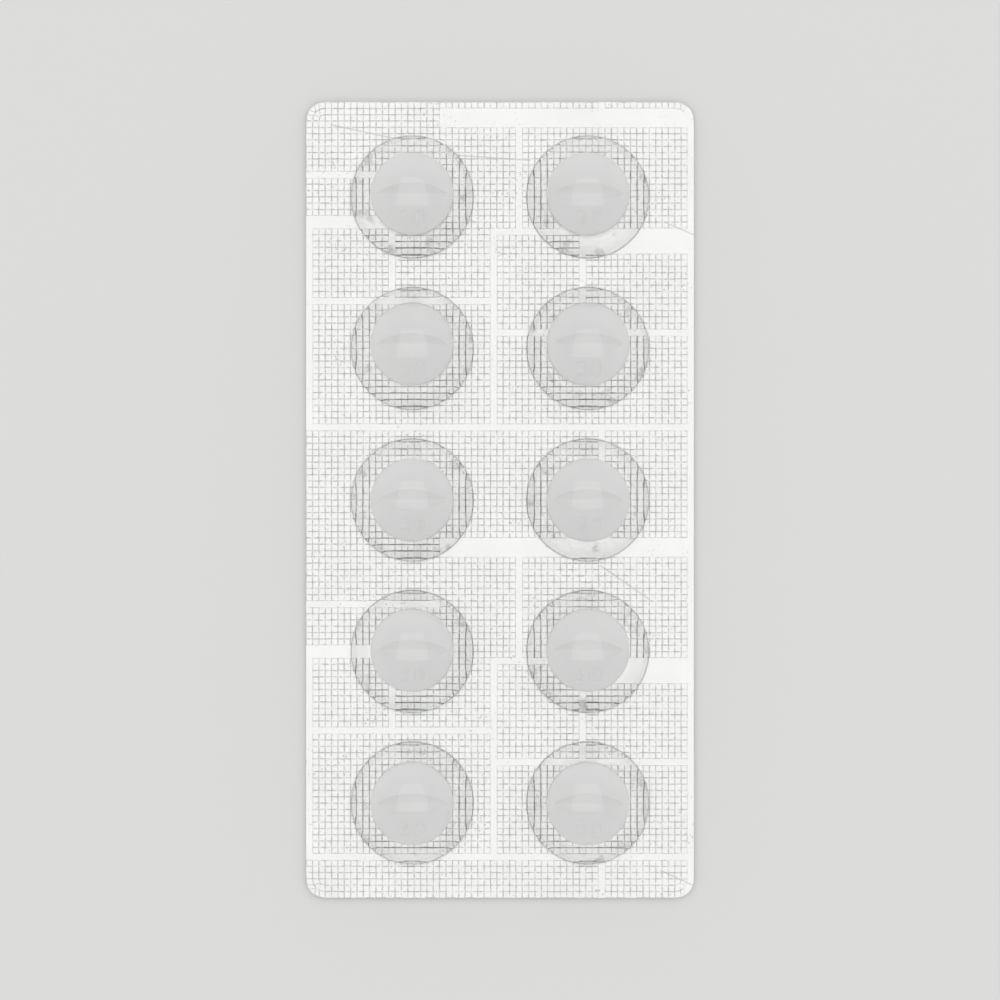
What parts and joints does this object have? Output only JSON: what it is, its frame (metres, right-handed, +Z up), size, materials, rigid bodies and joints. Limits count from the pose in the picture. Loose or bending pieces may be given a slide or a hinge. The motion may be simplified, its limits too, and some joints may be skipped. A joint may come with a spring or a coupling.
{
  "type": "pill blister pack",
  "caption": "Push-through blister card with clear domed pockets, embossed foil lid and scored round tablets.",
  "frame": {"origin": "centre of the foil's underside, where the card lies", "axes": "+Z up through the pockets, +Y along the card's long side, +X across it; the numbers on the tablets read upright with +Y as up"},
  "size_m": [0.038, 0.078, 0.0047],
  "materials": {
    "clear_film": "clear, thin thermoformed sheet",
    "foil": "bright hard foil with a fine square emboss",
    "tablet_coating": "smooth satin film coat, off-white"
  },
  "bodies": {
    "root": {"forming_film": "clear_film", "lidding_foil": "foil", "tablet_1": "tablet_coating", "tablet_2": "tablet_coating", "tablet_3": "tablet_coating", "tablet_4": "tablet_coating", "tablet_5": "tablet_coating", "tablet_6": "tablet_coating", "tablet_7": "tablet_coating", "tablet_8": "tablet_coating", "tablet_9": "tablet_coating", "tablet_10": "tablet_coating"}
  },
  "joints": []
}
